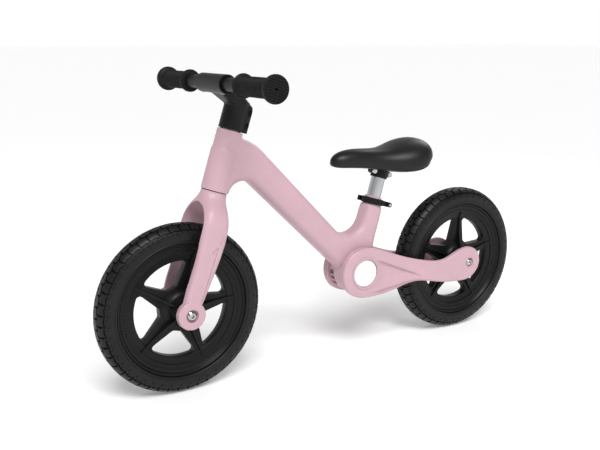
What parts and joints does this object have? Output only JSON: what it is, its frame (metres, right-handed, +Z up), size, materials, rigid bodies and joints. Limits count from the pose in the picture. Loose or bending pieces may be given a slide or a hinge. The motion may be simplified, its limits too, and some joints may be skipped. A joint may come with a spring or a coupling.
{
  "type": "balance bike",
  "caption": "Child's pedal-free bike with a cast frame, bolted rear stays, rigid fork, straight bar, moulded spoked wheels, foam tyres and an adjustable saddle.",
  "frame": {"origin": "on the ground, midway between the two axles, in the bike's centre plane", "axes": "+X is the riding direction, +Y is the rider's left, +Z is up"},
  "size_m": [0.896, 0.398, 0.5335],
  "materials": {
    "frame_paint": "satin pale pink powder coat on a cast magnesium alloy",
    "matte_black": "matte black moulded nylon",
    "black_metal": "satin black powder coat",
    "grip_rubber": "matte black ribbed rubber",
    "foam_tyre": "matte black foam tyre with a block tread",
    "saddle_skin": "smooth black moulded foam skin, satin",
    "white_cap": "plain white gloss plastic",
    "chrome": "bright chrome plate",
    "steel": "zinc-plated steel"
  },
  "bodies": {
    "frame": {"frame_shell": "frame_paint", "head_bearings": "steel", "head_seals": "matte_black", "left_stay": "frame_paint", "right_stay": "frame_paint", "hub_bolt": "steel", "hub_nut": "steel", "left_hub_cap": "white_cap", "right_hub_cap": "white_cap", "rear_axle": "steel", "rear_axle_bolts": "chrome", "rear_spacers": "black_metal", "seat_clamp": "black_metal", "clamp_skewer": "chrome", "clamp_nut": "black_metal", "lever_barrel": "steel"},
    "clamp_lever": {"clamp_lever": "black_metal"},
    "seat_post": {"seat_post": "chrome", "left_post_cheek": "black_metal", "right_post_cheek": "black_metal", "cheek_bolts": "chrome", "cheek_nuts": "chrome", "saddle_pivot_bolt": "steel"},
    "saddle": {"saddle_pan": "matte_black", "saddle_pad": "saddle_skin"},
    "front_end": {"fork": "frame_paint", "steerer_tube": "steel", "stem": "black_metal", "stem_pinch_bolts": "black_metal", "stem_pinch_nuts": "black_metal", "handlebar": "black_metal", "bar_grub_screws": "steel", "left_grip": "grip_rubber", "right_grip": "grip_rubber", "front_axle": "steel", "front_axle_bolts": "chrome", "front_spacers": "black_metal"},
    "front_wheel": {"front_rim": "matte_black", "front_tyre": "foam_tyre", "front_bearings": "steel"},
    "rear_wheel": {"rear_rim": "matte_black", "rear_tyre": "foam_tyre", "rear_bearings": "steel"}
  },
  "joints": [
    {"name": "steering", "type": "hinge", "parent": "frame", "child": "front_end", "pos_m": [0.29729, 0, 0.14315], "axis": [-0.309, 0, 0.9511], "continuous": true},
    {"name": "front_wheel_spin", "type": "hinge", "parent": "front_end", "child": "front_wheel", "pos_m": [0.303, 0, 0.145], "axis": [0, 1, 0], "continuous": true},
    {"name": "rear_wheel_spin", "type": "hinge", "parent": "frame", "child": "rear_wheel", "pos_m": [-0.303, 0, 0.145], "axis": [0, 1, 0], "continuous": true},
    {"name": "seat_height", "type": "slide", "parent": "frame", "child": "seat_post", "axis": [-0.2924, 0, 0.9563], "range_m": [-0.03, 0.045]},
    {"name": "saddle_tilt", "type": "hinge", "parent": "seat_post", "child": "saddle", "pos_m": [-0.11423, 0, 0.354], "axis": [0, 1, 0], "range_deg": [-8, 8]},
    {"name": "clamp_lever_swing", "type": "hinge", "parent": "frame", "child": "clamp_lever", "pos_m": [-0.12507, -0.0166, 0.27515], "axis": [0.2924, 0, -0.9563], "range_deg": [0, 140]}
  ]
}
